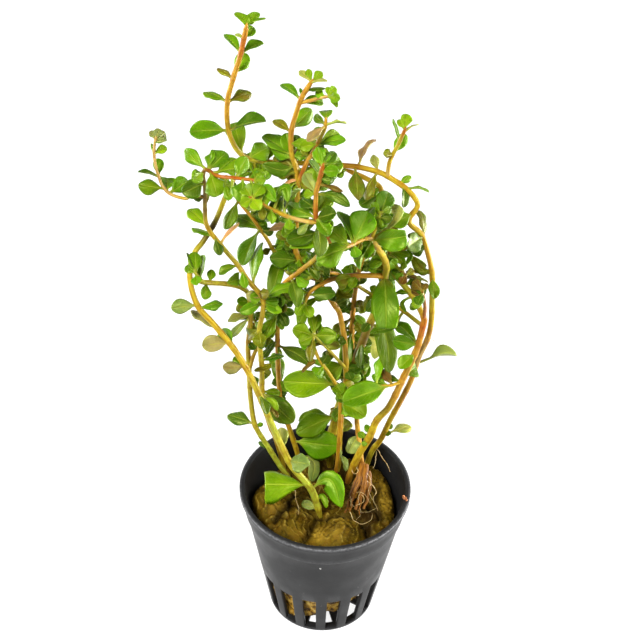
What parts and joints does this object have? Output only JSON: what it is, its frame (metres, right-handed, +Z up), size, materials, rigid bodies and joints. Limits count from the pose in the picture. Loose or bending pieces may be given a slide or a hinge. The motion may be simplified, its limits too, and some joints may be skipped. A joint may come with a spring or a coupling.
{
  "type": "potted gia lai dwarf rotala",
  "caption": "Aquarium stem plant with small leaves on curving stems, rooted in a plug of wet mineral wool in a slotted black net pot",
  "frame": {"origin": "middle of the pot's floor, on the surface the pot stands on", "axes": "+Z up along the pot's axis; -Y is the side the picture was taken from; +X to the picture's right"},
  "size_m": [0.0847, 0.057, 0.2065],
  "materials": {
    "pot_plastic": "satin",
    "wet_wool": "matte",
    "stem_skin": "satin",
    "leaf_green": "satin",
    "leaf_yellow_green": "satin",
    "leaf_dark": "satin",
    "leaf_olive": "satin",
    "leaf_pale": "satin"
  },
  "bodies": {
    "root": {"leaf_centre_left_1": "leaf_green", "leaf_centre_left_2": "leaf_yellow_green", "leaf_centre_left_3": "leaf_dark", "leaf_centre_left_4": "leaf_pale", "leaf_centre_left_5": "leaf_dark", "leaf_centre_low_1": "leaf_green", "leaf_centre_low_2": "leaf_green", "leaf_centre_tall_1": "leaf_green", "leaf_centre_tall_2": "leaf_pale", "leaf_centre_tall_3": "leaf_green", "leaf_left_back_1": "leaf_green", "leaf_left_back_2": "leaf_green", "leaf_left_front_1": "leaf_green", "leaf_left_front_2": "leaf_yellow_green", "leaf_left_front_3": "leaf_olive", "leaf_left_rising_1": "leaf_dark", "leaf_left_rising_2": "leaf_green", "leaf_left_rising_3": "leaf_green", "leaf_right_arch_1": "leaf_pale", "leaf_right_arch_2": "leaf_dark", "leaf_right_arch_3": "leaf_pale", "leaf_right_arch_4": "leaf_green", "leaf_right_arch_5": "leaf_yellow_green", "leaf_right_low_1": "leaf_green", "leaf_thick_1": "leaf_green", "leaf_thick_2": "leaf_green", "leaf_thick_3": "leaf_green", "leaf_thick_4": "leaf_green", "leaf_thick_5": "leaf_green", "leaf_thick_back_1": "leaf_green", "leaf_thick_near_1": "leaf_dark", "leaf_thick_near_2": "leaf_green", "leaf_thick_near_3": "leaf_green", "net_pot": "pot_plastic", "shoot_across": "stem_skin", "shoot_arch_side": "stem_skin", "shoot_centre_fork": "stem_skin", "shoot_centre_top": "stem_skin", "shoot_front_left": "stem_skin", "shoot_left_back": "stem_skin", "shoot_left_curl": "stem_skin", "shoot_left_twin": "stem_skin", "shoot_right_cross": "stem_skin", "shoot_right_dry": "stem_skin", "shoot_right_low": "stem_skin", "shoot_right_twig": "stem_skin", "shoot_rosette": "stem_skin", "shoot_thick_near": "stem_skin", "shoot_thick_up": "stem_skin", "stem_centre_left": "stem_skin", "stem_centre_low": "stem_skin", "stem_centre_tall": "stem_skin", "stem_left_front": "stem_skin", "stem_left_pale": "stem_skin", "stem_left_rising": "stem_skin", "stem_right_arch": "stem_skin", "stem_right_inner": "stem_skin", "stem_thick": "stem_skin", "stem_thick_back": "stem_skin", "wool_plug": "wet_wool"}
  },
  "joints": []
}
